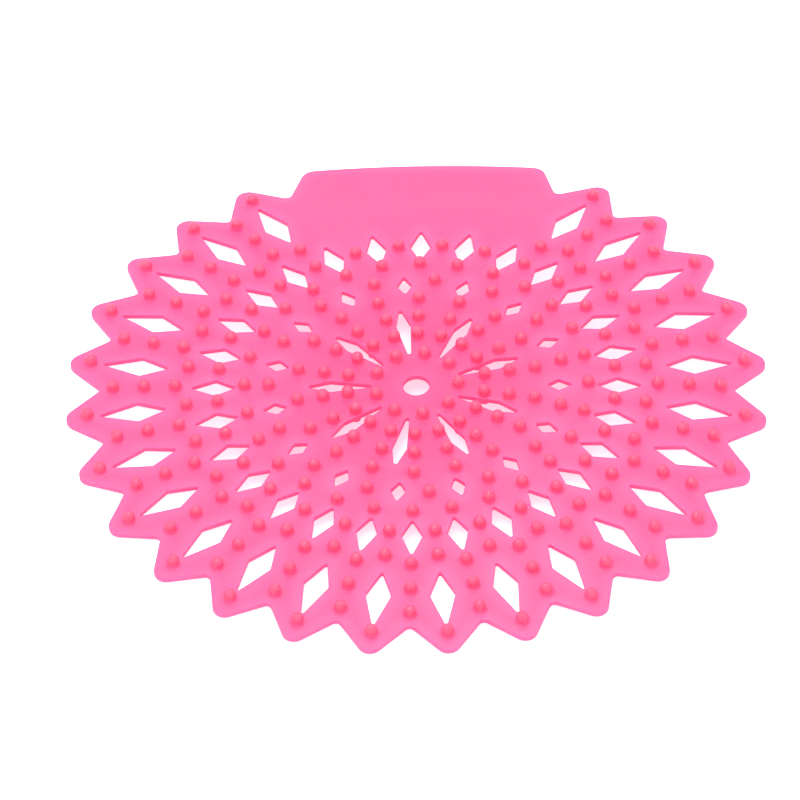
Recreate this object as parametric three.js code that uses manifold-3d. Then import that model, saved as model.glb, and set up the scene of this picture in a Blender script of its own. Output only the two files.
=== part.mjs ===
// Urinal deodorizer screen: one soft moulded mat, in millimetres.
// The disc lies flat in X and Y with its handling tab towards +Y. Bristle pegs stand on the
// upper face, shorter ones carry the mat on the floor, and the origin is on that floor, under
// the middle of the mat's bounding box. Directions are in degrees counter-clockwise from +X.

import * as THREE from 'three';
import { mergeVertices } from 'three/addons/utils/BufferGeometryUtils.js';
import Module from 'manifold-3d';

const wasm = await Module();
wasm.setup();

// Sheet
const SHEET_THICKNESS = 1.45;
const HUB_HOLE_RADIUS = 3.6;

// Openings, from the hub outwards. An opening's length runs along its spoke, its widest place
// is measured from its inner end, and each land is the solid band before the next openings.
const HUB_LAND = 8.5;
const PETAL_COUNT = 9;
const PETAL_LENGTH = 16.9;
const PETAL_WIDEST_AT = 11.1;
const PETAL_WIDTH = 3.9;
const PETAL_END_WIDTH = 0.9;
const PETAL_LAND = 6.2;
const SMALL_COUNT = 15;
const SMALL_LENGTH = 7.2;
const SMALL_WIDEST_AT = 3.3;
const SMALL_WIDTH = 4.2;
const SMALL_LAND = 6.2;
const MIDDLE_LENGTH = 12.9;
const MIDDLE_WIDEST_AT = 5.7;
const MIDDLE_WIDTH = 5.8;
const MIDDLE_LAND = 5.7;
const OUTER_LENGTH = 19.5;
const OUTER_WIDEST_AT = 8.2;
const OUTER_WIDTH = 6.9;

// Rim: STEP_COUNT equal steps round the circle carry the lobes, the middle and outer openings
// and the outer pegs, and the tab towards +Y takes the place of TAB_STEPS lobes
const STEP_COUNT = 28;
const TIP_LAND = 8.2;
const LOBE_DEPTH = 9.6;
const LOBE_TIP_ROUNDING = 3.4;
const LOBE_VALLEY_ROUNDING = 1.3;
const TAB_STEPS = 4;
const TAB_LENGTH = 14.5;
const TAB_WIDTH = 66.6;
const TAB_EDGE_BULGE = 1.8;
const TAB_CORNER_ROUNDING = 4;
const TAB_ROOT_ROUNDING = 1.8;

// Pegs: a round one on the upper face, and a short flat one right under it
const PEG_RADIUS = 1.7;
const PEG_SHOULDER_RADIUS = 1.45;
const PEG_SHOULDER_HEIGHT = 1.7;
const PEG_HEIGHT = 2.8;
const FOOT_RADIUS = 1.6;
const FOOT_HEIGHT = 1.4;
const PEG_ROOT_DEPTH = 0.5;
const PEG_SIDES = 5;
const FOOT_SIDES = 4;

// Where the peg rings run, each measured outwards from the start of the openings beside it
const HUB_RING_OFFSET = -0.7;
const PETAL_RING_OFFSETS = [6.6, 13.4, 20.4];
const SMALL_RING_OFFSET = 4.7;
const MIDDLE_ROOT_RING_OFFSET = -2.1;
const MIDDLE_SIDE_RING_OFFSET = 5.3;
const OUTER_ROOT_RING_OFFSET = -4.9;
const OUTER_SIDE_RING_OFFSETS = [-2, 6.5, 14.9];
const TIP_RING_OFFSET = 21.9;

// How the soft mat has set since it was moulded: heights reached at SET_RADIUS, and directions
const SET_RADIUS = 87.5;
const DOME_HEIGHT = 2.5;
const SADDLE_HEIGHT = 0.95;
const SADDLE_DIRECTION = 8.6;
const WAVE_HEIGHT = 0.87;
const WAVE_DIRECTION = 37.8;
const LEAN_HEIGHT = 2.2;
const LEAN_DIRECTION = 63.7;
const TAB_DROOP = 1.8;

// How finely the round stretches are stepped
const TIP_SEGMENTS = 3;
const VALLEY_SEGMENTS = 2;
const TAB_CORNER_SEGMENTS = 4;
const TAB_EDGE_SEGMENTS = 6;
const HUB_SEGMENTS = 18;

const TOWARDS_TAB = new THREE.Vector2(0, 1).angle() * THREE.MathUtils.RAD2DEG;
const STEP = 360 / STEP_COUNT;
const LOBE_COUNT = STEP_COUNT - TAB_STEPS;

const petalStart = HUB_HOLE_RADIUS + HUB_LAND;
const smallStart = petalStart + PETAL_LENGTH + PETAL_LAND;
const middleStart = smallStart + SMALL_LENGTH + SMALL_LAND;
const outerStart = middleStart + MIDDLE_LENGTH + MIDDLE_LAND;
const tipRadius = outerStart + OUTER_LENGTH + TIP_LAND;

// Directions spread evenly over the whole circle
function allRound(count, first) {
  return Array.from({ length: count }, (_, k) => first + (k * 360) / count);
}

// Directions of the whole or half steps that lie clear of the tab
function besideTab(count, firstStep) {
  return Array.from({ length: count }, (_, k) => TOWARDS_TAB + (firstStep + k) * STEP);
}

const wholeSteps = allRound(STEP_COUNT, TOWARDS_TAB);
const halfSteps = allRound(STEP_COUNT, TOWARDS_TAB + STEP / 2);
const lobeSteps = besideTab(LOBE_COUNT, (TAB_STEPS + 1) / 2);
const valleySteps = besideTab(LOBE_COUNT + 1, TAB_STEPS / 2);
const innerValleySteps = valleySteps.slice(1, -1);
const petalSteps = allRound(PETAL_COUNT, 180);
const besidePetals = allRound(2 * PETAL_COUNT, 180 + 90 / PETAL_COUNT);
const betweenPetals = allRound(PETAL_COUNT, 180 + 180 / PETAL_COUNT);
const smallSteps = allRound(SMALL_COUNT, 0);
const betweenSmalls = allRound(SMALL_COUNT, 180 / SMALL_COUNT);

function polar(radius, direction) {
  const angle = THREE.MathUtils.degToRad(direction);
  return new THREE.Vector2(radius * Math.cos(angle), radius * Math.sin(angle));
}

// Rounds the corner between two straight sides with a tangent arc
function roundCorner(before, corner, after, radius, segments) {
  const back = before.clone().sub(corner).normalize();
  const ahead = after.clone().sub(corner).normalize();
  const halfAngle = Math.acos(back.dot(ahead)) / 2;
  const start = corner.clone().addScaledVector(back, radius / Math.tan(halfAngle));
  const end = corner.clone().addScaledVector(ahead, radius / Math.tan(halfAngle));
  const inward = back.add(ahead).normalize();
  const centre = corner.clone().addScaledVector(inward, radius / Math.sin(halfAngle));
  const turn = start.clone().sub(centre).cross(end.clone().sub(centre)) > 0 ? 1 : -1;
  const sweep = turn * (Math.PI - 2 * halfAngle);
  return Array.from({ length: segments + 1 }, (_, k) =>
    start.clone().rotateAround(centre, (sweep * k) / segments));
}

// A kite-shaped opening that points outwards along its spoke, with blunt ends if endWidth is given
function kite(start, length, widestAt, width, direction, endWidth = 0) {
  const spoke = polar(1, direction);
  const across = polar(1, direction + 90);
  const at = (along, side) => spoke.clone().multiplyScalar(start + along).addScaledVector(across, side);
  const end = (along) => (endWidth > 0 ? [at(along, -endWidth / 2), at(along, endWidth / 2)] : [at(along, 0)]);
  const path = new THREE.Path();
  path.setFromPoints([
    ...end(0),
    at(widestAt, width / 2),
    ...end(length).reverse(),
    at(widestAt, -width / 2),
  ]);
  return path;
}

function openings() {
  const hub = new THREE.Path();
  hub.setFromPoints(allRound(HUB_SEGMENTS, 0).map((direction) => polar(HUB_HOLE_RADIUS, direction)));
  const petals = petalSteps.map((direction) =>
    kite(petalStart, PETAL_LENGTH, PETAL_WIDEST_AT, PETAL_WIDTH, direction, PETAL_END_WIDTH));
  const smalls = smallSteps.map((direction) =>
    kite(smallStart, SMALL_LENGTH, SMALL_WIDEST_AT, SMALL_WIDTH, direction));
  const middles = wholeSteps.map((direction) =>
    kite(middleStart, MIDDLE_LENGTH, MIDDLE_WIDEST_AT, MIDDLE_WIDTH, direction));
  const outers = lobeSteps.map((direction) =>
    kite(outerStart, OUTER_LENGTH, OUTER_WIDEST_AT, OUTER_WIDTH, direction));
  return [hub, ...petals, ...smalls, ...middles, ...outers];
}

// Radius at which the two straight sides of a lobe would meet, outside its rounded tip
function lobeApexRadius(valleyRadius) {
  const centre = tipRadius - LOBE_TIP_ROUNDING;
  const valley = polar(valleyRadius, STEP / 2);
  const toCentre = Math.atan2(valley.y, centre - valley.x);
  const sideSlope = toCentre - Math.asin(LOBE_TIP_ROUNDING / Math.hypot(valley.y, centre - valley.x));
  return centre + LOBE_TIP_ROUNDING / Math.sin(sideSlope);
}

// The rim from the tab's one root to its other, and the tab's own outer edge back again
function rimAndTab() {
  const valleyRadius = tipRadius - LOBE_DEPTH;
  const apexRadius = lobeApexRadius(valleyRadius);
  const valleys = valleySteps.map((direction) => polar(valleyRadius, direction));
  const apexes = lobeSteps.map((direction) => polar(apexRadius, direction));

  const root = valleys[0];
  const edgeRadius = (TAB_WIDTH ** 2 / 4 + TAB_EDGE_BULGE ** 2) / (2 * TAB_EDGE_BULGE);
  const edgeHalfAngle = THREE.MathUtils.radToDeg(Math.asin(TAB_WIDTH / 2 / edgeRadius));
  const edgeCentre = new THREE.Vector2(0, root.y + TAB_LENGTH - edgeRadius);
  const edge = Array.from({ length: TAB_EDGE_SEGMENTS + 1 }, (_, k) =>
    polar(edgeRadius, TOWARDS_TAB - edgeHalfAngle + (2 * edgeHalfAngle * k) / TAB_EDGE_SEGMENTS).add(edgeCentre));
  const lastRoot = valleys[LOBE_COUNT];
  const rightCorner = edge[0];
  const leftCorner = edge[TAB_EDGE_SEGMENTS];

  const rim = [];
  valleys.forEach((valley, k) => {
    const before = k === 0 ? leftCorner : apexes[k - 1];
    const after = k === LOBE_COUNT ? rightCorner : apexes[k];
    const rounding = k === 0 || k === LOBE_COUNT ? TAB_ROOT_ROUNDING : LOBE_VALLEY_ROUNDING;
    rim.push(...roundCorner(before, valley, after, rounding, VALLEY_SEGMENTS));
    if (k < LOBE_COUNT) {
      rim.push(...roundCorner(valley, apexes[k], valleys[k + 1], LOBE_TIP_ROUNDING, TIP_SEGMENTS));
    }
  });

  const tab = [
    ...roundCorner(lastRoot, rightCorner, edge[1], TAB_CORNER_ROUNDING, TAB_CORNER_SEGMENTS),
    ...edge.slice(1, -1),
    ...roundCorner(edge[TAB_EDGE_SEGMENTS - 1], leftCorner, root, TAB_CORNER_ROUNDING, TAB_CORNER_SEGMENTS),
  ];
  return { rim, tab };
}

function toSolid(geometry) {
  const bare = geometry.clone();
  bare.deleteAttribute('normal');
  bare.deleteAttribute('uv');
  const merged = mergeVertices(bare);
  return new wasm.Manifold(new wasm.Mesh({
    numProp: 3,
    vertProperties: merged.attributes.position.array,
    triVerts: new Uint32Array(merged.index.array),
  }));
}

function plate(outline, holes) {
  const shape = new THREE.Shape(outline);
  shape.holes = holes;
  return toSolid(new THREE.ExtrudeGeometry(shape, { depth: SHEET_THICKNESS, bevelEnabled: false }));
}

// Rings of pegs: the radius of each, and the directions in which its pegs stand
function pegRings() {
  const ring = (radius, directions) => ({ radius, directions });
  return [
    ring(petalStart + HUB_RING_OFFSET, betweenPetals),
    ...PETAL_RING_OFFSETS.map((offset) => ring(petalStart + offset, besidePetals)),
    ring(smallStart + SMALL_RING_OFFSET, betweenSmalls),
    ring(middleStart + MIDDLE_ROOT_RING_OFFSET, wholeSteps),
    ring(middleStart + MIDDLE_SIDE_RING_OFFSET, halfSteps),
    ring(outerStart + OUTER_ROOT_RING_OFFSET, lobeSteps),
    ...OUTER_SIDE_RING_OFFSETS.map((offset) => ring(outerStart + offset, innerValleySteps)),
    ring(outerStart + TIP_RING_OFFSET, lobeSteps),
  ];
}

// One peg of the upper face with its root in the sheet, standing on the origin
function peg() {
  const profile = [
    new THREE.Vector2(0, -PEG_ROOT_DEPTH),
    new THREE.Vector2(PEG_RADIUS, -PEG_ROOT_DEPTH),
    new THREE.Vector2(PEG_RADIUS, 0),
    new THREE.Vector2(PEG_SHOULDER_RADIUS, PEG_SHOULDER_HEIGHT),
    new THREE.Vector2(0, PEG_HEIGHT),
  ];
  return new THREE.LatheGeometry(profile, PEG_SIDES)
    .rotateX(Math.PI / 2)
    .translate(0, 0, SHEET_THICKNESS);
}

// One foot with its root in the sheet, a flat side towards each neighbour
function foot() {
  const corners = allRound(FOOT_SIDES, 180 / FOOT_SIDES).map((direction) => polar(FOOT_RADIUS, direction));
  const depth = FOOT_HEIGHT + PEG_ROOT_DEPTH;
  return new THREE.ExtrudeGeometry(new THREE.Shape(corners), { depth, bevelEnabled: false })
    .translate(0, 0, -FOOT_HEIGHT);
}

// Swaps the shared side of two triangles in one flat face wherever that makes them less narrow,
// so that the face bends evenly as the mat sets. The line where the tab folds is left alone.
function evenOut(geometry, foldEnd) {
  const position = geometry.attributes.position;
  const index = geometry.index.array;
  const isLevel = (i, j) => Math.abs(position.getZ(i) - position.getZ(j)) < 1e-4;
  const isFoldEnd = (i) =>
    Math.abs(position.getY(i) - foldEnd.y) + Math.abs(Math.abs(position.getX(i)) - foldEnd.x) < 1e-3;
  const angleAt = (corner, i, j) => {
    const from = new THREE.Vector3().fromBufferAttribute(position, corner);
    const toFirst = new THREE.Vector3().fromBufferAttribute(position, i).sub(from);
    return toFirst.angleTo(new THREE.Vector3().fromBufferAttribute(position, j).sub(from));
  };

  const owners = new Map();
  const sideName = (i, j) => i * position.count + j;
  const setTriangle = (t, corners) => {
    index.set(corners, t);
    corners.forEach((corner, k) => owners.set(sideName(corner, corners[(k + 1) % 3]), t));
  };
  const flat = [];
  for (let t = 0; t < index.length; t += 3) {
    if (isLevel(index[t], index[t + 1]) && isLevel(index[t], index[t + 2])) {
      setTriangle(t, [...index.slice(t, t + 3)]);
      flat.push(t);
    }
  }

  let swaps = 1;
  while (swaps > 0) {
    swaps = 0;
    for (const t of flat) {
      for (let k = 0; k < 3; k++) {
        const [a, b, c] = [index[t + k], index[t + ((k + 1) % 3)], index[t + ((k + 2) % 3)]];
        const other = owners.get(sideName(b, a));
        if (other !== undefined && !(isFoldEnd(a) && isFoldEnd(b))) {
          const d = index[other] + index[other + 1] + index[other + 2] - a - b;
          if (angleAt(c, a, b) + angleAt(d, a, b) > Math.PI + 1e-4) {
            owners.delete(sideName(a, b));
            owners.delete(sideName(b, a));
            setTriangle(t, [a, d, c]);
            setTriangle(other, [d, b, c]);
            swaps++;
          }
        }
      }
    }
  }
}

// Height of the set mat over its moulded plane
function setHeight(x, y) {
  const reach = Math.hypot(x, y) / SET_RADIUS;
  const angle = Math.atan2(y, x);
  const from = (direction) => angle - THREE.MathUtils.degToRad(direction);
  return (
    -DOME_HEIGHT * reach ** 3
    + SADDLE_HEIGHT * reach ** 2 * Math.cos(2 * from(SADDLE_DIRECTION))
    + WAVE_HEIGHT * reach ** 3 * Math.cos(3 * from(WAVE_DIRECTION))
    + LEAN_HEIGHT * (reach - reach ** 3) * Math.cos(from(LEAN_DIRECTION))
  );
}

// The tab stays a flat plate: it leaves the set mat at both roots and droops from there
function settle(geometry, rightRoot, leftRoot) {
  const rootY = rightRoot.y;
  const heights = [setHeight(rightRoot.x, rootY), setHeight(leftRoot.x, rootY)];
  const position = geometry.attributes.position;
  for (let i = 0; i < position.count; i++) {
    const x = position.getX(i);
    const y = position.getY(i);
    const onTab = y >= rootY - 1e-4 && Math.abs(x) <= rightRoot.x + 1e-4;
    const across = (x - rightRoot.x) / (leftRoot.x - rightRoot.x);
    const height = onTab
      ? THREE.MathUtils.lerp(heights[0], heights[1], across) - (TAB_DROOP * (y - rootY)) / TAB_LENGTH
      : setHeight(x, y);
    position.setZ(i, position.getZ(i) + height);
  }
}

function screenGeometry() {
  const { rim, tab } = rimAndTab();
  const leftRoot = rim[0];
  const rightRoot = rim[rim.length - 1];
  let mat = plate(rim, openings()).add(plate([rightRoot, ...tab, leftRoot], []));

  const pegShape = peg();
  const footShape = foot();
  for (const { radius, directions } of pegRings()) {
    for (const direction of directions) {
      const place = polar(radius, direction);
      const turn = THREE.MathUtils.degToRad(direction);
      for (const shape of [pegShape, footShape]) {
        mat = mat.add(toSolid(shape.clone().rotateZ(turn).translate(place.x, place.y, 0)));
      }
    }
  }

  const { vertProperties, triVerts } = mat.getMesh();
  const geometry = new THREE.BufferGeometry();
  geometry.setAttribute('position', new THREE.Float32BufferAttribute(vertProperties, 3));
  geometry.setIndex([...triVerts]);
  evenOut(geometry, rightRoot);
  settle(geometry, rightRoot, leftRoot);
  geometry.computeVertexNormals();
  return geometry;
}

const eva = new THREE.MeshStandardMaterial({ color: 0xff70a8, roughness: 0.4, metalness: 0 });

function screenMesh() {
  const mesh = new THREE.Mesh(screenGeometry(), eva);
  mesh.name = 'screen';
  const box = new THREE.Box3().setFromObject(mesh);
  const middle = box.getCenter(new THREE.Vector3());
  mesh.position.set(-middle.x, -middle.y, -box.min.z);
  return mesh;
}

const model = new THREE.Group();
model.add(screenMesh());

export default model;
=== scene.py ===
import math

import bpy
import numpy as np
from mathutils import Matrix, Vector
from mathutils.geometry import delaunay_2d_cdt
from mathutils.kdtree import KDTree


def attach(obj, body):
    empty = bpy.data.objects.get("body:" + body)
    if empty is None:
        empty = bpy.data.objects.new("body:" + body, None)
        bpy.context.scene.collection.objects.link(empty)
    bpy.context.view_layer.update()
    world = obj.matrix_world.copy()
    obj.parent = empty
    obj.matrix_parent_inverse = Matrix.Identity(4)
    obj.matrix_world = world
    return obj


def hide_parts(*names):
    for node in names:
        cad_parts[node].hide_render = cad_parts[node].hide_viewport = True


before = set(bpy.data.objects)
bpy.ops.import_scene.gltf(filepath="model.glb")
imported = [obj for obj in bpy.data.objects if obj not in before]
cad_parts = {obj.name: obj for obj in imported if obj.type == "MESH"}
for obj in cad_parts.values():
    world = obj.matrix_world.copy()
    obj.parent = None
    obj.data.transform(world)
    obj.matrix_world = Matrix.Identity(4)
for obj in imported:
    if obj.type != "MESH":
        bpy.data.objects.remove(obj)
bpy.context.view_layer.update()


# The sheet: the thin round floor of the mat, with a lobed rim and a wide plain handling tab.
# It is soft vinyl acetate, moulded in one shot with everything else, and its edges come out of
# the mould slightly rounded. All lengths are in millimetres, from the middle of the centre hole.
SHEET_THICKNESS = 1.45
STEP_COUNT = 28
STEP = 360 / STEP_COUNT
TIP_RADIUS = 94.9
LOBE_DEPTH = 9.6
LOBE_TIP_ROUNDING = 3.4
LOBE_VALLEY_ROUNDING = 1.4
TAB_DIRECTION = 90
TAB_STEPS = 4
TAB_LENGTH = 14.5
TAB_WIDTH = 66.6
TAB_EDGE_BULGE = 1.8
TAB_EDGE_PARTS = 40
TAB_CORNER_PARTS = 3
TAB_CORNER_ROUNDING = 4
TAB_ROOT_ROUNDING = 1.8
UPPER_EDGE_ROUNDING = 0.14
LOWER_EDGE_ROUNDING = 0.1
ARC_PART = 18
SIDE_PART = 1.3

points = []
faces = []


def add_ring(flat_points, height):
    ring = range(len(points), len(points) + len(flat_points))
    points.extend((x, y, height) for x, y in flat_points)
    return list(ring)


def add_band(lower, upper):
    for i in range(len(lower)):
        j = (i + 1) % len(lower)
        faces.append((lower[i], lower[j], upper[j], upper[i]))


def polar(radius, direction):
    angle = math.radians(direction)
    return np.array((radius * math.cos(angle), radius * math.sin(angle)))


def unit(vector):
    return vector / np.linalg.norm(vector)


def right_of(way):
    return np.array((way[1], -way[0]))


def rounded_outline(corners):
    """Points of a closed outline, and at each the direction away from the material on its left."""
    stretches = []
    for i, (corner, rounding) in enumerate(corners):
        back = unit(corners[i - 1][0] - corner)
        ahead = unit(corners[(i + 1) % len(corners)][0] - corner)
        if rounding == 0:
            stretches.append([(corner, unit(right_of(ahead - back)))])
            continue
        half = math.acos(float(np.clip(back @ ahead, -1, 1))) / 2
        centre = corner + unit(back + ahead) * rounding / math.sin(half)
        start = corner + back * rounding / math.tan(half) - centre
        turns_left = back[0] * ahead[1] - back[1] * ahead[0] < 0
        side = 1 if turns_left else -1
        sweep = side * (math.pi - 2 * half)
        parts = max(2, math.ceil(abs(math.degrees(sweep)) / ARC_PART))
        arc = []
        for k in range(parts + 1):
            c, s = math.cos(sweep * k / parts), math.sin(sweep * k / parts)
            spoke = np.array((c * start[0] - s * start[1], s * start[0] + c * start[1]))
            arc.append((centre + spoke, side * unit(spoke)))
        stretches.append(arc)

    outline = []
    for i, arc in enumerate(stretches):
        outline.extend(arc)
        start, end = arc[-1][0], stretches[(i + 1) % len(stretches)][0][0]
        parts = max(1, math.ceil(np.linalg.norm(end - start) / SIDE_PART))
        away = right_of(unit(end - start))
        outline.extend((start + (end - start) * k / parts, away) for k in range(1, parts))
    return np.array([p for p, _ in outline]), np.array([n for _, n in outline])


def add_edge(outline, upper_rounding=UPPER_EDGE_ROUNDING):
    """The rounded wall of the sheet along an outline, and its rings in the lower and upper face."""
    line, away = outline
    rings = []
    for turn in (90, 45, 0):
        inset = LOWER_EDGE_ROUNDING * (1 - math.cos(math.radians(turn)))
        height = LOWER_EDGE_ROUNDING * (1 - math.sin(math.radians(turn)))
        rings.append(add_ring(line - away * inset, height))
    for turn in (0, 30, 60, 90):
        inset = upper_rounding * (1 - math.cos(math.radians(turn)))
        height = SHEET_THICKNESS - upper_rounding * (1 - math.sin(math.radians(turn)))
        rings.append(add_ring(line - away * inset, height))
    for lower, upper in zip(rings, rings[1:]):
        add_band(lower, upper)
    return rings[0], rings[-1]


def lobe_apex_radius():
    centre = TIP_RADIUS - LOBE_TIP_ROUNDING
    valley = polar(TIP_RADIUS - LOBE_DEPTH, STEP / 2)
    reach = math.hypot(valley[1], centre - valley[0])
    slope = math.atan2(valley[1], centre - valley[0]) - math.asin(LOBE_TIP_ROUNDING / reach)
    return centre + LOBE_TIP_ROUNDING / math.sin(slope)


lobe_count = STEP_COUNT - TAB_STEPS
lobe_directions = [TAB_DIRECTION + ((TAB_STEPS + 1) / 2 + k) * STEP for k in range(lobe_count)]
valley_directions = [TAB_DIRECTION + (TAB_STEPS / 2 + k) * STEP for k in range(lobe_count + 1)]
tab_root = polar(TIP_RADIUS - LOBE_DEPTH, valley_directions[-1])
tab_edge_radius = (TAB_WIDTH ** 2 / 4 + TAB_EDGE_BULGE ** 2) / (2 * TAB_EDGE_BULGE)
tab_edge_centre = np.array((0, tab_root[1] + TAB_LENGTH - tab_edge_radius))
tab_edge_half = math.degrees(math.asin(TAB_WIDTH / 2 / tab_edge_radius))

rim_corners = []
for k, direction in enumerate(valley_directions):
    is_root = k in (0, lobe_count)
    valley = polar(TIP_RADIUS - LOBE_DEPTH, direction)
    rim_corners.append((valley, TAB_ROOT_ROUNDING if is_root else LOBE_VALLEY_ROUNDING))
    if k < lobe_count:
        rim_corners.append((polar(lobe_apex_radius(), lobe_directions[k]), LOBE_TIP_ROUNDING))
for k in range(TAB_EDGE_PARTS + 1):
    direction = TAB_DIRECTION + tab_edge_half * (2 * k / TAB_EDGE_PARTS - 1)
    is_corner = k in (0, TAB_EDGE_PARTS)
    clear_of_corner = TAB_CORNER_PARTS < k < TAB_EDGE_PARTS - TAB_CORNER_PARTS
    if is_corner or clear_of_corner:
        place = tab_edge_centre + polar(tab_edge_radius, direction)
        rim_corners.append((place, TAB_CORNER_ROUNDING if is_corner else 0))

outlines = [rounded_outline(rim_corners)]


# The openings: a round centre hole, nine narrow petals, a ring of small diamonds, and two rings
# of longer kites that grow towards the rim, so liquid drains through the mat everywhere. They
# are cored out by pins of the mould, whose corners are slightly rounded.
HUB_HOLE_RADIUS = 3.6
HUB_HOLE_PARTS = 40
PETAL_COUNT = 9
PETAL_DIRECTION = 180
PETAL_START = 12.1
PETAL_LENGTH = 16.9
PETAL_WIDEST_AT = 11.1
PETAL_WIDTH = 4.0
PETAL_END_WIDTH = 0.9
SMALL_COUNT = 15
SMALL_START = 35.2
SMALL_LENGTH = 7.2
SMALL_WIDEST_AT = 3.3
SMALL_WIDTH = 4.2
MIDDLE_START = 48.6
MIDDLE_LENGTH = 12.9
MIDDLE_WIDEST_AT = 5.7
MIDDLE_WIDTH = 5.8
OUTER_START = 67.2
OUTER_LENGTH = 19.5
OUTER_WIDEST_AT = 8.2
OUTER_WIDTH = 6.9
KITE_END_ROUNDING = 0.42
KITE_SIDE_ROUNDING = 0.8
PETAL_END_ROUNDING = 0.25
PETAL_SIDE_ROUNDING = 0.5


def kite(start, length, widest_at, width, direction):
    spoke, across = polar(1, direction), polar(1, direction + 90)
    return rounded_outline([
        (spoke * start, KITE_END_ROUNDING),
        (spoke * (start + widest_at) + across * width / 2, KITE_SIDE_ROUNDING),
        (spoke * (start + length), KITE_END_ROUNDING),
        (spoke * (start + widest_at) - across * width / 2, KITE_SIDE_ROUNDING),
    ])


def petal(direction):
    spoke, across = polar(1, direction), polar(1, direction + 90)
    end, widest = across * PETAL_END_WIDTH / 2, across * PETAL_WIDTH / 2
    inner, outer = spoke * PETAL_START, spoke * (PETAL_START + PETAL_LENGTH)
    shoulder = spoke * (PETAL_START + PETAL_WIDEST_AT)
    return rounded_outline([
        (inner - end, PETAL_END_ROUNDING), (inner + end, PETAL_END_ROUNDING),
        (shoulder + widest, PETAL_SIDE_ROUNDING),
        (outer + end, PETAL_END_ROUNDING), (outer - end, PETAL_END_ROUNDING),
        (shoulder - widest, PETAL_SIDE_ROUNDING),
    ])


hub_spokes = np.array([polar(1, -360 * k / HUB_HOLE_PARTS) for k in range(HUB_HOLE_PARTS)])
outlines.append((hub_spokes * HUB_HOLE_RADIUS, -hub_spokes))
for k in range(PETAL_COUNT):
    outlines.append(petal(PETAL_DIRECTION + 360 * k / PETAL_COUNT))
for k in range(SMALL_COUNT):
    direction = 360 * k / SMALL_COUNT
    outlines.append(kite(SMALL_START, SMALL_LENGTH, SMALL_WIDEST_AT, SMALL_WIDTH, direction))
for k in range(STEP_COUNT):
    direction = TAB_DIRECTION + k * STEP
    outlines.append(kite(MIDDLE_START, MIDDLE_LENGTH, MIDDLE_WIDEST_AT, MIDDLE_WIDTH, direction))
for direction in lobe_directions:
    outlines.append(kite(OUTER_START, OUTER_LENGTH, OUTER_WIDEST_AT, OUTER_WIDTH, direction))

lower_rings, upper_rings = zip(*(add_edge(outline) for outline in outlines))


# The bristle pegs: short round studs that stand in rings all over the upper face and break up
# the splash. Each is moulded solid with the sheet and domed on top, and its foot flows out into
# the sheet as far as the nearest opening leaves room.
PEG_SIDES = 16
PEG_PROFILE = [
    (2.0, 0), (1.8, 0.15), (1.73, 0.5), (1.69, 1.25),
    (1.6, 1.85), (1.38, 2.33), (1.01, 2.7), (0.54, 2.92),
]
PEG_HEIGHT = 3.0
PEG_CLEAR_OF_EDGE = 0.24
HUB_RING_OFFSET = -0.7
PETAL_RING_OFFSETS = (6.6, 13.4, 20.4)
SMALL_RING_OFFSET = 4.7
MIDDLE_ROOT_RING_OFFSET = -2.1
MIDDLE_SIDE_RING_OFFSET = 5.3
OUTER_ROOT_RING_OFFSET = -4.9
OUTER_SIDE_RING_OFFSETS = (-2, 6.5, 14.9)
TIP_RING_OFFSET = 21.9


def add_turned(centre, profile, end_height, sides):
    """A round shape on one face: rings up or down its profile, closed by a point in its middle."""
    circle = np.array([polar(1, 360 * k / sides) for k in range(sides)])
    rings = [add_ring(centre + circle * radius, height) for radius, height in profile]
    rises = profile[-1][1] > profile[0][1]
    for first, second in zip(rings, rings[1:]):
        add_band(*((first, second) if rises else (second, first)))
    points.append((*centre, end_height))
    middle = len(points) - 1
    last = rings[-1]
    for i in range(sides):
        j = (i + 1) % sides
        faces.append((last[i], last[j], middle) if rises else (last[j], last[i], middle))
    return rings[0]


def ring_of(radius, directions):
    return [polar(radius, direction) for direction in directions]


def all_round(count, first):
    return [first + 360 * k / count for k in range(count)]


beside_petals = all_round(2 * PETAL_COUNT, PETAL_DIRECTION + 90 / PETAL_COUNT)
between_petals = all_round(PETAL_COUNT, PETAL_DIRECTION + 180 / PETAL_COUNT)
between_smalls = all_round(SMALL_COUNT, 180 / SMALL_COUNT)
whole_steps = [TAB_DIRECTION + k * STEP for k in range(STEP_COUNT)]
half_steps = [TAB_DIRECTION + (k + 0.5) * STEP for k in range(STEP_COUNT)]
inner_valleys = valley_directions[1:-1]
peg_places = [
    *ring_of(PETAL_START + HUB_RING_OFFSET, between_petals),
    *(
        place for offset in PETAL_RING_OFFSETS
        for place in ring_of(PETAL_START + offset, beside_petals)
    ),
    *ring_of(SMALL_START + SMALL_RING_OFFSET, between_smalls),
    *ring_of(MIDDLE_START + MIDDLE_ROOT_RING_OFFSET, whole_steps),
    *ring_of(MIDDLE_START + MIDDLE_SIDE_RING_OFFSET, half_steps),
    *ring_of(OUTER_START + OUTER_ROOT_RING_OFFSET, lobe_directions),
    *(
        place for offset in OUTER_SIDE_RING_OFFSETS
        for place in ring_of(OUTER_START + offset, inner_valleys)
    ),
    *ring_of(OUTER_START + TIP_RING_OFFSET, lobe_directions),
]
upper_circles = []
for place in peg_places:
    to_edge = min(np.linalg.norm(line - place, axis=1).min() for line, _ in outlines)
    room = to_edge - PEG_CLEAR_OF_EDGE
    profile = [(min(radius, room), SHEET_THICKNESS + height) for radius, height in PEG_PROFILE]
    upper_circles.append(add_turned(place, profile, SHEET_THICKNESS + PEG_HEIGHT, PEG_SIDES))


# The feet: shorter flat-ended studs right under the pegs, which hold the sheet clear of the bowl.
# They come out of the lower half of the same mould.
FOOT_SIDES = 14
FOOT_PROFILE = [(1.6, 0), (1.52, -1.0), (1.44, -1.3), (1.2, -1.4)]
FOOT_HEIGHT = 1.4

lower_circles = [
    add_turned(place, FOOT_PROFILE, -FOOT_HEIGHT, FOOT_SIDES) for place in peg_places
]


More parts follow.
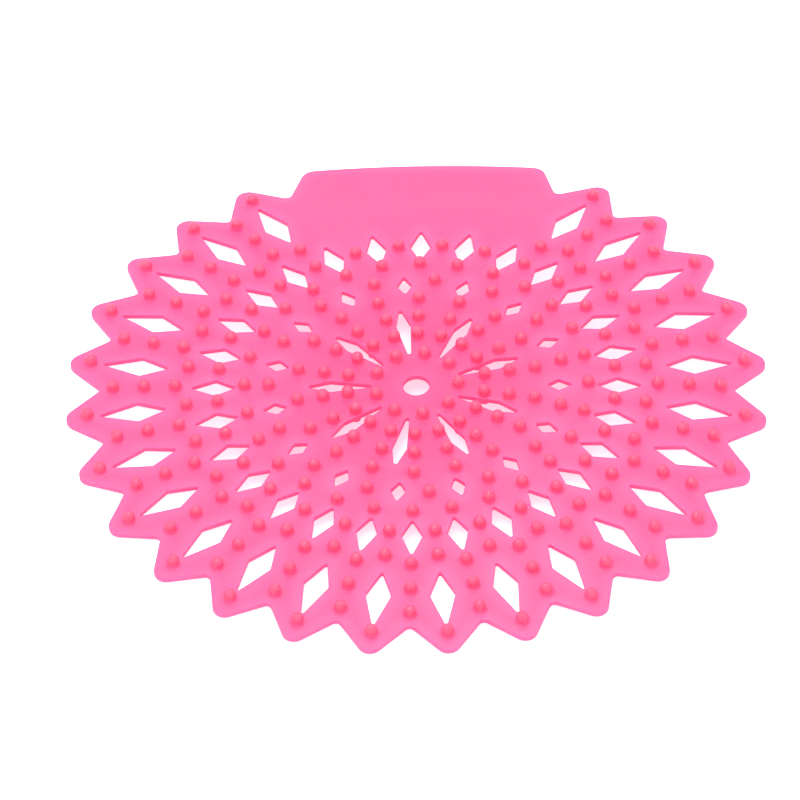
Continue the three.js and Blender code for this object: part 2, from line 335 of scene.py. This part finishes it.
# The ejector marks: three shallow round dents in the upper face, left by the pins that push the
# warm mat out of its mould.
EJECTOR_RADIUS = 36.5
EJECTOR_DIRECTIONS = (35, 155, 275)
EJECTOR_SIDES = 24
EJECTOR_PROFILE = [(1.3, 0), (1.22, -0.05), (1.12, -0.12), (0.6, -0.12)]

ejector_places = ring_of(EJECTOR_RADIUS, EJECTOR_DIRECTIONS)
for place in ejector_places:
    circle = np.array([polar(1, 360 * k / EJECTOR_SIDES) for k in range(EJECTOR_SIDES)])
    rings = [
        add_ring(place + circle * radius, SHEET_THICKNESS + depth)
        for radius, depth in EJECTOR_PROFILE
    ]
    for outer, inner in zip(rings, rings[1:]):
        add_band(outer, inner)
    faces.append(tuple(rings[-1]))
    upper_circles.append(rings[0])


# The two broad faces of the sheet: smooth skins between the edges and the studs. They are meshed
# finely enough to bend evenly where the mat has set.
GRID = 2.3
CLEAR_OF_EDGE = 1.1
CLEAR_OF_STUD = 2.6
CLEAR_OF_EJECTOR = 1.8
STUD_RINGS = ((2.6, 14), (3.5, 16))
STUD_RING_TURN = 7
NEAREST_STUD_SLACK = 0.01
MERGE_DISTANCE = 1e-7
SLIVER_SIZE = 1e-5

edge_tree = KDTree(sum(len(line) for line, _ in outlines))
edge_points = [(p, n) for outline in outlines for p, n in zip(*outline)]
for i, (p, _) in enumerate(edge_points):
    edge_tree.insert((*p, 0), i)
edge_tree.balance()
stud_tree = KDTree(len(peg_places))
for i, place in enumerate(peg_places):
    stud_tree.insert((*place, 0), i)
stud_tree.balance()


def depth_in_sheet(place):
    """Distance to the nearest edge, negative outside the sheet."""
    _, i, distance = edge_tree.find((*place, 0))
    p, away = edge_points[i]
    return -distance if (place - p) @ away > 0 else distance


fill = []
for place in peg_places:
    for radius, sides in STUD_RINGS:
        for k in range(sides):
            spot = place + polar(radius, 360 * (k + radius / STUD_RING_TURN) / sides)
            _, _, reach = stud_tree.find((*spot, 0))
            is_own = reach > radius - NEAREST_STUD_SLACK
            if is_own and depth_in_sheet(spot) > CLEAR_OF_EDGE:
                fill.append(spot)
fill_tree = KDTree(len(fill))
for i, spot in enumerate(fill):
    fill_tree.insert((*spot, 0), i)
fill_tree.balance()
half_count = math.ceil(TIP_RADIUS / GRID) + 1
for row in range(-half_count - 5, half_count + 6):
    for column in range(-half_count, half_count + 1):
        spot = np.array(((column + 0.5 * (row % 2)) * GRID, row * GRID * math.sqrt(3) / 2))
        is_clear = depth_in_sheet(spot) > CLEAR_OF_EDGE
        if is_clear and stud_tree.find((*spot, 0))[2] > CLEAR_OF_STUD:
            if fill_tree.find((*spot, 0))[2] > GRID / 2:
                fill.append(spot)
fill = [
    spot for spot in fill
    if min(np.linalg.norm(spot - place) for place in ejector_places) > CLEAR_OF_EJECTOR
]


def is_inside(line, places):
    """For each place, whether a closed line goes round it."""
    following = np.roll(line, -1, axis=0)
    x, y = places[:, :1], places[:, 1:]
    crosses = (line[:, 1] > y) != (following[:, 1] > y)
    rise = np.where(crosses, following[:, 1] - line[:, 1], 1)
    at = line[:, 0] + (y - line[:, 1]) * (following[:, 0] - line[:, 0]) / rise
    return (crosses & (x < at)).sum(axis=1) % 2 == 1


def add_face(rings, height, faces_up):
    """One broad face, filled between its rings, the first of which is the rim."""
    inner = add_ring(fill, height)
    names = [name for ring in rings for name in ring] + inner
    owner = [k for k, ring in enumerate(rings) for _ in ring] + [-1] * len(inner)
    lines = []
    start = 0
    for ring in rings:
        lines.extend((start + i, start + (i + 1) % len(ring)) for i in range(len(ring)))
        start += len(ring)
    flat = [Vector(points[name][:2]) for name in names]
    spots, _, triangles, sources, _, _ = delaunay_2d_cdt(flat, lines, [], 0, MERGE_DISTANCE)
    corners = np.array([[spots[i][:] for i in t] for t in triangles])
    first, second = corners[:, 1] - corners[:, 0], corners[:, 2] - corners[:, 0]
    is_real = np.abs(first[:, 0] * second[:, 1] - first[:, 1] * second[:, 0]) > SLIVER_SIZE
    rim = np.array([points[name][:2] for name in rings[0]])
    within = is_real & is_inside(rim, corners.mean(axis=1))
    for t, is_within in zip(triangles, within):
        origin = [sources[i][0] for i in t]
        owners = {owner[i] for i in origin}
        in_an_opening = len(owners) == 1 and owners.isdisjoint((-1, 0))
        if is_within and not in_an_opening:
            a, b, c = (names[i] for i in origin)
            faces.append((a, b, c) if faces_up else (c, b, a))


add_face([*upper_rings, *upper_circles], SHEET_THICKNESS, True)
add_face([*lower_rings, *lower_circles], 0, False)


# How the mat has set: the soft disc lies in a shallow dome with a slight twist and wave, and the
# tab droops from its two roots.
SET_RADIUS = 87.5
DOME_HEIGHT = 2.5
SADDLE_HEIGHT, SADDLE_DIRECTION = 0.95, 8.6
WAVE_HEIGHT, WAVE_DIRECTION = 0.87, 37.8
LEAN_HEIGHT, LEAN_DIRECTION = 2.2, 63.7
TAB_DROOP = 1.8
TAB_BLEND = 7
TAB_SIDE_BLEND = 6
MOULD_CENTRE_Y = 1.455
MOULD_PLANE_Z = 5.238
MM = 0.001


def set_height(x, y):
    reach, angle = np.hypot(x, y) / SET_RADIUS, np.degrees(np.arctan2(y, x))
    return (
        -DOME_HEIGHT * reach ** 3
        + SADDLE_HEIGHT * reach ** 2 * np.cos(np.radians(2 * (angle - SADDLE_DIRECTION)))
        + WAVE_HEIGHT * reach ** 3 * np.cos(np.radians(3 * (angle - WAVE_DIRECTION)))
        + LEAN_HEIGHT * (reach - reach ** 3) * np.cos(np.radians(angle - LEAN_DIRECTION))
    )


def smooth_step(value):
    value = np.clip(value, 0, 1)
    return value * value * (3 - 2 * value)


moulded = np.array(points)
x, y = moulded[:, 0], moulded[:, 1]
root_x, root_y = tab_root
right_height, left_height = set_height(root_x, root_y), set_height(-root_x, root_y)
across = (root_x - x) / (2 * root_x)
tab_height = right_height + (left_height - right_height) * across
tab_height = tab_height - TAB_DROOP * (y - root_y) / TAB_LENGTH
beyond_root = smooth_step((y - root_y) / TAB_BLEND + 1)
between_roots = smooth_step((root_x + TAB_SIDE_BLEND - np.abs(x)) / TAB_SIDE_BLEND)
on_tab = beyond_root * between_roots
settled = moulded.copy()
settled[:, 2] += set_height(x, y) * (1 - on_tab) + tab_height * on_tab
settled += (0, MOULD_CENTRE_Y, MOULD_PLANE_Z)

screen_mesh = bpy.data.meshes.new("screen_moulding")
screen_mesh.from_pydata((settled * MM).tolist(), [], faces)
screen_mesh.shade_smooth()
for attribute_name, values in (
    ("edge_distance", [edge_tree.find((p[0], p[1], 0))[2] for p in moulded]),
    ("stud_distance", [stud_tree.find((p[0], p[1], 0))[2] for p in moulded]),
    ("peg_rise", moulded[:, 2] - SHEET_THICKNESS),
    ("hub_distance", np.hypot(x, y)),
):
    attribute = screen_mesh.attributes.new(attribute_name, "FLOAT", "POINT")
    attribute.data.foreach_set("value", values)
screen = bpy.data.objects.new("screen_moulding", screen_mesh)
bpy.context.scene.collection.objects.link(screen)
even_shading = screen.modifiers.new("even_shading", "WEIGHTED_NORMAL")
even_shading.keep_sharp = True


# The finish: soft pink vinyl acetate with dye all through it. Light passes through the thin
# sheet, and some of that light is painted into the colour: it looks deeper where there is a stud
# to look into and towards the middle, darker right at the edges as painted shade, paler near the
# openings as painted light, and its walls, peg sides and feet have a painted glow. Its skin is
# satin with the faint unevenness of a warm mould. Distances along the part are in millimetres.
SHEET_PINK = (1.0, 0.12, 0.34, 1)
# Pale pink, used both for the random mottle of the moulding and as painted light near the edges.
PALE_MOTTLE_AND_PAINTED_LIGHT = (1.0, 0.17, 0.42, 1)
# Painted shade: the sheet turns deeper pink towards the middle, where less light comes up from
# beneath.
HUB_PAINTED_SHADE = (1.0, 0.08, 0.27, 1)
# Painted depth: the pegs are the sheet's own vinyl, coloured deeper to stand in for light passing
# through their length.
PEG_PAINTED_DEPTH = (1.0, 0.135, 0.28, 1)
# Painted shade: a darker rose right at the edges and on the walls of the openings.
EDGE_PAINTED_SHADE = (0.9, 0.07, 0.18, 1)
# Painted glow: emission that stands in for light passing through the walls, the peg sides and the
# feet.
WALL_GLOW = (1.0, 0.1, 0.28, 1)
NO_GLOW = (0, 0, 0, 1)
WALL_GLOW_STRENGTH = 0.4
FLOW_STRENGTH = 0.5
SHEET_ROUGHNESS = 0.34
STUD_ROUGHNESS = 0.2

# Each zone has the distance that it goes by, where it is full, where it has gone, its colour and
# how much of it shows.
COLOUR_ZONES = (
    # painted light: paler within a few millimetres of the openings and rim, where light comes
    # through the walls
    ("edge_distance", 0.8, 4.5, PALE_MOTTLE_AND_PAINTED_LIGHT, 0.8),
    # painted shade, deeper towards the middle
    ("hub_distance", 15, 50, HUB_PAINTED_SHADE, 0.5),
    # painted depth of light through the pegs, full from 1.5 mm up, fading to the sheet colour at
    # the foot
    ("peg_rise", 1.5, 0, PEG_PAINTED_DEPTH, 1),
    # painted shade along the edges and walls
    ("edge_distance", 0.02, 0.3, EDGE_PAINTED_SHADE, 0.3),
)
# Where the painted glow lights the walls, the lower peg sides and the feet.
GLOW_ZONES = (
    ("stud_distance", 1.6, 2.2, WALL_GLOW, 0.45),
    ("peg_rise", 1.5, 0.3, NO_GLOW, 1),
    ("peg_rise", -1.9, -1.5, WALL_GLOW, 1),
    ("edge_distance", 0.02, 0.12, WALL_GLOW, 1),
)
GLOSS_ZONE = ("stud_distance", 1.55, 1.8)


def mask_group():
    """Turns a distance into a mask that is 1 at the near one given and 0 at the far one."""
    group = bpy.data.node_groups.new("closeness", "ShaderNodeTree")
    group.interface.new_socket("Distance", in_out="INPUT", socket_type="NodeSocketFloat")
    group.interface.new_socket("Near", in_out="INPUT", socket_type="NodeSocketFloat")
    group.interface.new_socket("Far", in_out="INPUT", socket_type="NodeSocketFloat")
    group.interface.new_socket("Mask", in_out="OUTPUT", socket_type="NodeSocketFloat")
    taken = group.nodes.new("NodeGroupInput")
    fade = group.nodes.new("ShaderNodeMapRange")
    fade.interpolation_type = "SMOOTHSTEP"
    fade.inputs["To Min"].default_value = 1
    fade.inputs["To Max"].default_value = 0
    given = group.nodes.new("NodeGroupOutput")
    group.links.new(taken.outputs["Distance"], fade.inputs["Value"])
    group.links.new(taken.outputs["Near"], fade.inputs["From Min"])
    group.links.new(taken.outputs["Far"], fade.inputs["From Max"])
    group.links.new(fade.outputs["Result"], given.inputs["Mask"])
    return group


closeness = mask_group()
vinyl = bpy.data.materials.new("pink_vinyl")
vinyl.use_nodes = True
nodes, links = vinyl.node_tree.nodes, vinyl.node_tree.links
skin = nodes["Principled BSDF"]
skin.inputs["IOR"].default_value = 1.45
skin.inputs["Emission Strength"].default_value = WALL_GLOW_STRENGTH
skin.inputs["Subsurface Weight"].default_value = 0.8
skin.inputs["Subsurface Radius"].default_value = (1.0, 0.3, 0.5)
skin.inputs["Subsurface Scale"].default_value = 0.003


def distance_mask(attribute, near, far):
    source = nodes.new("ShaderNodeAttribute")
    source.attribute_name = attribute
    mask = nodes.new("ShaderNodeGroup")
    mask.node_tree = closeness
    mask.inputs["Near"].default_value = near
    mask.inputs["Far"].default_value = far
    links.new(source.outputs["Fac"], mask.inputs["Distance"])
    return mask.outputs["Mask"]


def blend_colour(under, over, mask, strength):
    scaled = nodes.new("ShaderNodeMath")
    scaled.operation = "MULTIPLY"
    scaled.inputs[1].default_value = strength
    links.new(mask, scaled.inputs[0])
    mix = nodes.new("ShaderNodeMix")
    mix.data_type = "RGBA"
    links.new(scaled.outputs[0], mix.inputs["Factor"])
    if isinstance(under, tuple):
        mix.inputs["A"].default_value = under
    else:
        links.new(under, mix.inputs["A"])
    mix.inputs["B"].default_value = over
    return mix.outputs["Result"]


on_part = nodes.new("ShaderNodeTexCoord").outputs["Object"]
flow = nodes.new("ShaderNodeTexNoise")
flow.inputs["Scale"].default_value = 45
flow.inputs["Detail"].default_value = 3
links.new(on_part, flow.inputs["Vector"])
colour = blend_colour(SHEET_PINK, PALE_MOTTLE_AND_PAINTED_LIGHT, flow.outputs["Fac"], FLOW_STRENGTH)
for attribute_name, near, far, tint, strength in COLOUR_ZONES:
    colour = blend_colour(colour, tint, distance_mask(attribute_name, near, far), strength)
links.new(colour, skin.inputs["Base Color"])
# The painted glow goes into the emission.
glow = NO_GLOW
for attribute_name, near, far, tint, strength in GLOW_ZONES:
    glow = blend_colour(glow, tint, distance_mask(attribute_name, near, far), strength)
links.new(glow, skin.inputs["Emission Color"])
gloss = nodes.new("ShaderNodeMapRange")
gloss.inputs["To Min"].default_value = SHEET_ROUGHNESS
gloss.inputs["To Max"].default_value = STUD_ROUGHNESS
links.new(distance_mask(*GLOSS_ZONE), gloss.inputs["Value"])
links.new(gloss.outputs["Result"], skin.inputs["Roughness"])


def uneven_skin(scale, detail, strength, depth, under=None):
    texture = nodes.new("ShaderNodeTexNoise")
    texture.inputs["Scale"].default_value = scale
    texture.inputs["Detail"].default_value = detail
    links.new(on_part, texture.inputs["Vector"])
    bump = nodes.new("ShaderNodeBump")
    bump.inputs["Strength"].default_value = strength
    bump.inputs["Distance"].default_value = depth
    links.new(texture.outputs["Fac"], bump.inputs["Height"])
    if under is not None:
        links.new(under, bump.inputs["Normal"])
    return bump.outputs["Normal"]


grain = uneven_skin(scale=900, detail=4, strength=0.12, depth=0.00005)
ripple = uneven_skin(scale=110, detail=2, strength=0.5, depth=0.00025, under=grain)
links.new(ripple, skin.inputs["Normal"])
screen_mesh.materials.append(vinyl)

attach(screen, "root")
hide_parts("screen")


# The table: a plain white sheet that the mat lies on, which also stands for the backdrop. It
# shows white to the camera, with the pink light under the middle of the mat painted on as a round
# pool of emission, and keeps a shadow that its camera-seen colours tint pink as painted light.
FLOOR_SIZE = 6
FLOOR_WHITE = (0.9, 0.9, 0.9, 1)
FLOOR_ROUGHNESS = 0.9
# Painted light: seen by the camera, the table glows pink under the middle of the mat and its shade
# shows pink.
FLOOR_SHADE_SEEN = (0.6, 1.0, 0.8, 1)
GLOW_UNDER_HUB = (0.87, 0.56, 0.68, 1)
GLOW_UNDER_RIM = (0.95, 0.85, 0.9, 1)
HUB_SHADE_END = 0.042
RIM_GLOW_START = 0.064

half = FLOOR_SIZE / 2
floor_corners = [(-half, -half, 0), (half, -half, 0), (half, half, 0), (-half, half, 0)]
floor_mesh = bpy.data.meshes.new("white_table")
floor_mesh.from_pydata(floor_corners, [], [(0, 1, 2, 3)])
floor = bpy.data.objects.new("white_table", floor_mesh)
bpy.context.scene.collection.objects.link(floor)
white = bpy.data.materials.new("table_white")
white.use_nodes = True
table_nodes, table_links = white.node_tree.nodes, white.node_tree.links
table_skin = table_nodes["Principled BSDF"]
table_skin.inputs["Roughness"].default_value = FLOOR_ROUGHNESS
table_skin.inputs["Specular IOR Level"].default_value = 0.0

reach = table_nodes.new("ShaderNodeVectorMath")
reach.operation = "LENGTH"
table_links.new(table_nodes.new("ShaderNodeTexCoord").outputs["Object"], reach.inputs[0])
outward = table_nodes.new("ShaderNodeMapRange")
outward.inputs["From Min"].default_value = HUB_SHADE_END
outward.inputs["From Max"].default_value = RIM_GLOW_START
table_links.new(reach.outputs["Value"], outward.inputs["Value"])
# The painted pink pool, strongest under the hub and fading to near white beyond the kites.
table_glow = table_nodes.new("ShaderNodeMix")
table_glow.data_type = "RGBA"
table_glow.inputs["A"].default_value = GLOW_UNDER_HUB
table_glow.inputs["B"].default_value = GLOW_UNDER_RIM
table_links.new(outward.outputs["Result"], table_glow.inputs["Factor"])
table_links.new(table_glow.outputs["Result"], table_skin.inputs["Emission Color"])


def is_seen_mask(seen_nodes, seen_links):
    """1 for what the camera sees straight or through something clear, 0 for all other light."""
    ray = seen_nodes.new("ShaderNodeLightPath")
    is_seen = seen_nodes.new("ShaderNodeMath")
    is_seen.operation = "MAXIMUM"
    seen_links.new(ray.outputs["Is Camera Ray"], is_seen.inputs[0])
    seen_links.new(ray.outputs["Is Transmission Ray"], is_seen.inputs[1])
    return is_seen.outputs[0]


table_seen = is_seen_mask(table_nodes, table_links)
shade = table_nodes.new("ShaderNodeMix")
shade.data_type = "RGBA"
shade.inputs["A"].default_value = FLOOR_WHITE
shade.inputs["B"].default_value = FLOOR_SHADE_SEEN
table_links.new(table_seen, shade.inputs["Factor"])
table_links.new(shade.outputs["Result"], table_skin.inputs["Base Color"])
table_links.new(table_seen, table_skin.inputs["Emission Strength"])
floor_mesh.materials.append(white)


# The light: a white studio tent all round, a large soft box overhead, and a narrow strip high up
# behind, whose reflection stands in the tops of the pegs.
WORLD_LIGHT = 0.8
WORLD_SEEN = 1
SOFT_BOX_PLACE = (-0.3, -0.2, 1.6)
SOFT_BOX_SIZE = 1.2
SOFT_BOX_POWER = 10
STRIP_PLACE = (0, 0.5, 1.5)
STRIP_WIDTH = 0.08
STRIP_LENGTH = 1.0
STRIP_POWER = 4

world = bpy.data.worlds.new("white_tent")
bpy.context.scene.world = world
world.use_nodes = True
tent, tent_links = world.node_tree.nodes, world.node_tree.links
background = tent["Background"]
background.inputs["Color"].default_value = (1, 1, 1, 1)
tent_strength = tent.new("ShaderNodeMapRange")
tent_strength.inputs["To Min"].default_value = WORLD_LIGHT
tent_strength.inputs["To Max"].default_value = WORLD_SEEN
tent_links.new(is_seen_mask(tent, tent_links), tent_strength.inputs["Value"])
tent_links.new(tent_strength.outputs["Result"], background.inputs["Strength"])


def area_light(name, lamp_place, width, height, power):
    lamp = bpy.data.lights.new(name, "AREA")
    lamp.shape = "RECTANGLE"
    lamp.size, lamp.size_y = width, height
    lamp.energy = power
    holder = bpy.data.objects.new(name, lamp)
    holder.location = lamp_place
    holder.rotation_euler = (-Vector(lamp_place)).to_track_quat("-Z", "Y").to_euler()
    bpy.context.scene.collection.objects.link(holder)


area_light("soft_box", SOFT_BOX_PLACE, SOFT_BOX_SIZE, SOFT_BOX_SIZE, SOFT_BOX_POWER)
area_light("narrow_strip", STRIP_PLACE, STRIP_WIDTH, STRIP_LENGTH, STRIP_POWER)


# The camera: where the photograph was taken from, looking down at the mat from the side away
# from its tab, with a long lens.
CAMERA_ELEVATION = 45.30
CAMERA_TURN = -2.94
CAMERA_ROLL = -2.30
CAMERA_DISTANCE = 1.803
CAMERA_LENS = 300.5
SENSOR_WIDTH = 36
HUB_SIDE_SHIFT = 4.401 * MM
HUB_RISE_SHIFT = 3.942 * MM

turn, lift, roll = (math.radians(v) for v in (CAMERA_TURN, CAMERA_ELEVATION, CAMERA_ROLL))
level_right = Vector((math.cos(turn), -math.sin(turn), 0))
level_ahead = Vector((math.sin(turn), math.cos(turn), 0))
downward = Vector((0, 0, -1))
looking = level_ahead * math.cos(lift) + downward * math.sin(lift)
level_up = level_ahead * math.sin(lift) - downward * math.cos(lift)
right = math.cos(roll) * level_right + math.sin(roll) * level_up
up = -math.sin(roll) * level_right + math.cos(roll) * level_up
hub = Vector((0, MOULD_CENTRE_Y, MOULD_PLANE_Z + SHEET_THICKNESS)) * MM

camera_data = bpy.data.cameras.new("camera")
camera_data.lens = CAMERA_LENS
camera_data.sensor_width = SENSOR_WIDTH
camera = bpy.data.objects.new("camera", camera_data)
camera.matrix_world = Matrix((right, up, -looking)).transposed().to_4x4()
camera.location = hub - right * HUB_SIDE_SHIFT - up * HUB_RISE_SHIFT - looking * CAMERA_DISTANCE
bpy.context.scene.collection.objects.link(camera)
bpy.context.scene.camera = camera
bpy.context.scene.view_settings.view_transform = "Standard"
